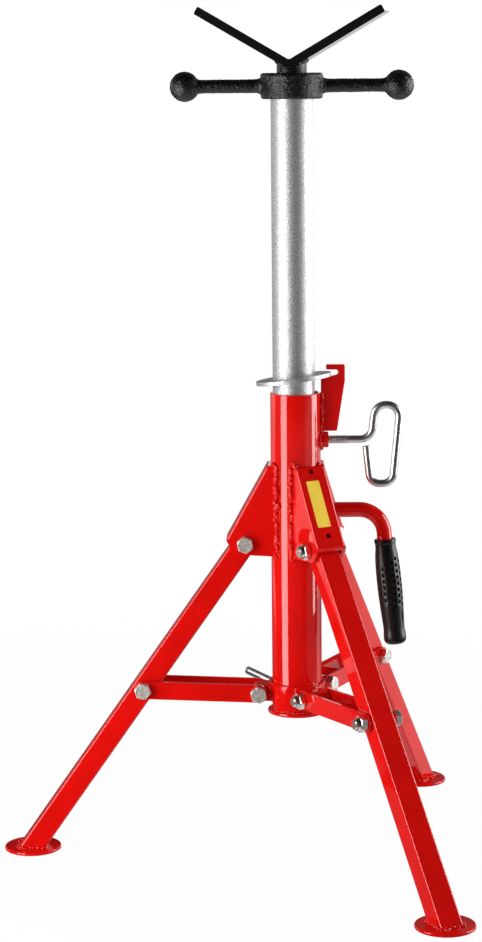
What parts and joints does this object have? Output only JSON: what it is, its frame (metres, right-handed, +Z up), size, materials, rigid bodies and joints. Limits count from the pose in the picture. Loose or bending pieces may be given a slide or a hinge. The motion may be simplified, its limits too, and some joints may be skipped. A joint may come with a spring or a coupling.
{
  "type": "pipe jack stand",
  "caption": "Folding tripod stand with a clamped sliding mast and a screw-raised swivelling V head that holds up pipe or bar while it is cut or welded.",
  "frame": {"origin": "on the floor, at the middle of the box round the three feet", "axes": "+Z up the mast, +X from the left foot towards the carrying handle, +Y to the rear foot"},
  "size_m": [0.5572, 0.6328, 1.0142],
  "materials": {
    "red_paint": "glossy red powder coat",
    "zinc_tube": "satin zinc plate",
    "bright_bolts": "bright nickel plate",
    "wire_chrome": "bright plate",
    "black_cast": "rough cast iron, painted black",
    "black_plate": "satin black paint",
    "grip_rubber": "soft black rubber"
  },
  "bodies": {
    "post": {"outer_tube": "red_paint", "base_flange": "red_paint", "left_bracket": "red_paint", "front_bracket": "red_paint", "rear_bracket": "red_paint", "catch_plate": "red_paint", "clamp_screw_boss": "red_paint", "carry_handle": "red_paint", "handle_grip": "grip_rubber", "left_leg_pivot_bolt": "bright_bolts", "left_leg_pivot_nut": "bright_bolts", "front_leg_pivot_bolt": "bright_bolts", "front_leg_pivot_nut": "bright_bolts", "rear_leg_pivot_bolt": "bright_bolts", "rear_leg_pivot_nut": "bright_bolts"},
    "collar": {"sliding_collar": "red_paint", "left_link_inner_bolt": "bright_bolts", "left_link_inner_nut": "bright_bolts", "front_link_inner_bolt": "bright_bolts", "front_link_inner_nut": "bright_bolts", "rear_link_inner_bolt": "bright_bolts", "rear_link_inner_nut": "bright_bolts"},
    "left_leg": {"left_leg": "red_paint", "left_foot": "red_paint"},
    "front_leg": {"front_leg": "red_paint", "front_foot": "red_paint"},
    "rear_leg": {"rear_leg": "red_paint", "rear_foot": "red_paint"},
    "left_link": {"left_link": "red_paint", "left_link_outer_bolt": "bright_bolts", "left_link_outer_nut": "bright_bolts"},
    "front_link": {"front_link": "red_paint", "front_link_outer_bolt": "bright_bolts", "front_link_outer_nut": "bright_bolts"},
    "rear_link": {"rear_link": "red_paint", "rear_link_outer_bolt": "bright_bolts", "rear_link_outer_nut": "bright_bolts"},
    "lock_pin": {"lock_pin": "wire_chrome", "lock_pin_loop": "wire_chrome"},
    "mast": {"inner_tube": "zinc_tube"},
    "hand_nut": {"hand_nut": "black_cast"},
    "head_screw": {"head_screw": "zinc_tube"},
    "v_head": {"head_neck": "black_plate", "v_plate": "black_plate"},
    "clamp_ring": {"clamp_ring": "zinc_tube"},
    "clamp_screw": {"clamp_screw": "wire_chrome"}
  },
  "joints": [
    {"name": "collar_slide", "type": "slide", "parent": "post", "child": "collar", "axis": [0, 0, 1], "range_m": [0, 0.10028]},
    {"name": "left_leg_fold", "type": "hinge", "parent": "post", "child": "left_leg", "pos_m": [0.02038, 0, 0.382], "axis": [0, -1, 0], "range_deg": [0, 26.98]},
    {"name": "front_leg_fold", "type": "hinge", "parent": "post", "child": "front_leg", "pos_m": [0.11188, -0.05283, 0.382], "axis": [0.866, 0.5, 0], "range_deg": [0, 26.98]},
    {"name": "rear_leg_fold", "type": "hinge", "parent": "post", "child": "rear_leg", "pos_m": [0.11188, 0.05283, 0.382], "axis": [-0.866, 0.5, 0], "range_deg": [0, 26.98]},
    {"name": "left_link_swing", "type": "hinge", "parent": "collar", "child": "left_link", "pos_m": [0.03488, 0, 0.1978], "axis": [0, -1, 0], "range_deg": [0, 73.39]},
    {"name": "front_link_swing", "type": "hinge", "parent": "collar", "child": "front_link", "pos_m": [0.10463, -0.04027, 0.1978], "axis": [0.866, 0.5, 0], "range_deg": [0, 73.39]},
    {"name": "rear_link_swing", "type": "hinge", "parent": "collar", "child": "rear_link", "pos_m": [0.10463, 0.04027, 0.1978], "axis": [-0.866, 0.5, 0], "range_deg": [0, 73.39]},
    {"name": "lock_pin_pull", "type": "slide", "parent": "collar", "child": "lock_pin", "axis": [-0.6428, 0.766, 0], "range_m": [-0.003, 0.005]},
    {"name": "mast_slide", "type": "slide", "parent": "post", "child": "mast", "axis": [0, 0, 1], "range_m": [-0.303, 0.17]},
    {"name": "hand_nut_spin", "type": "hinge", "parent": "mast", "child": "hand_nut", "pos_m": [0.07948, 0, 0.9227], "axis": [0, 0, -1], "range_deg": [0, 4800]},
    {"name": "head_lift", "type": "slide", "parent": "mast", "child": "head_screw", "axis": [0, 0, 1], "range_m": [0, 0.0801]},
    {"name": "v_head_swivel", "type": "hinge", "parent": "head_screw", "child": "v_head", "pos_m": [0.07948, 0, 0.9376], "axis": [0, 0, 1], "continuous": true},
    {"name": "clamp_ring_release", "type": "hinge", "parent": "post", "child": "clamp_ring", "pos_m": [0.12441, 0, 0.58207], "axis": [0, 1, 0], "range_deg": [0, 7.4]},
    {"name": "clamp_screw_spin", "type": "hinge", "parent": "post", "child": "clamp_screw", "pos_m": [0.14138, 0, 0.5054], "axis": [1, 0, 0], "range_deg": [0, 1080]}
  ],
  "couplings": [
    {"joint": "left_leg_fold", "follows": "collar_slide", "rad_per_m": 4.6958},
    {"joint": "front_leg_fold", "follows": "collar_slide", "rad_per_m": 4.6958},
    {"joint": "rear_leg_fold", "follows": "collar_slide", "rad_per_m": 4.6958},
    {"joint": "left_link_swing", "follows": "collar_slide", "rad_per_m": 12.773},
    {"joint": "front_link_swing", "follows": "collar_slide", "rad_per_m": 12.773},
    {"joint": "rear_link_swing", "follows": "collar_slide", "rad_per_m": 12.773},
    {"joint": "head_lift", "follows": "hand_nut_spin", "m_per_rad": 0.00095493}
  ]
}
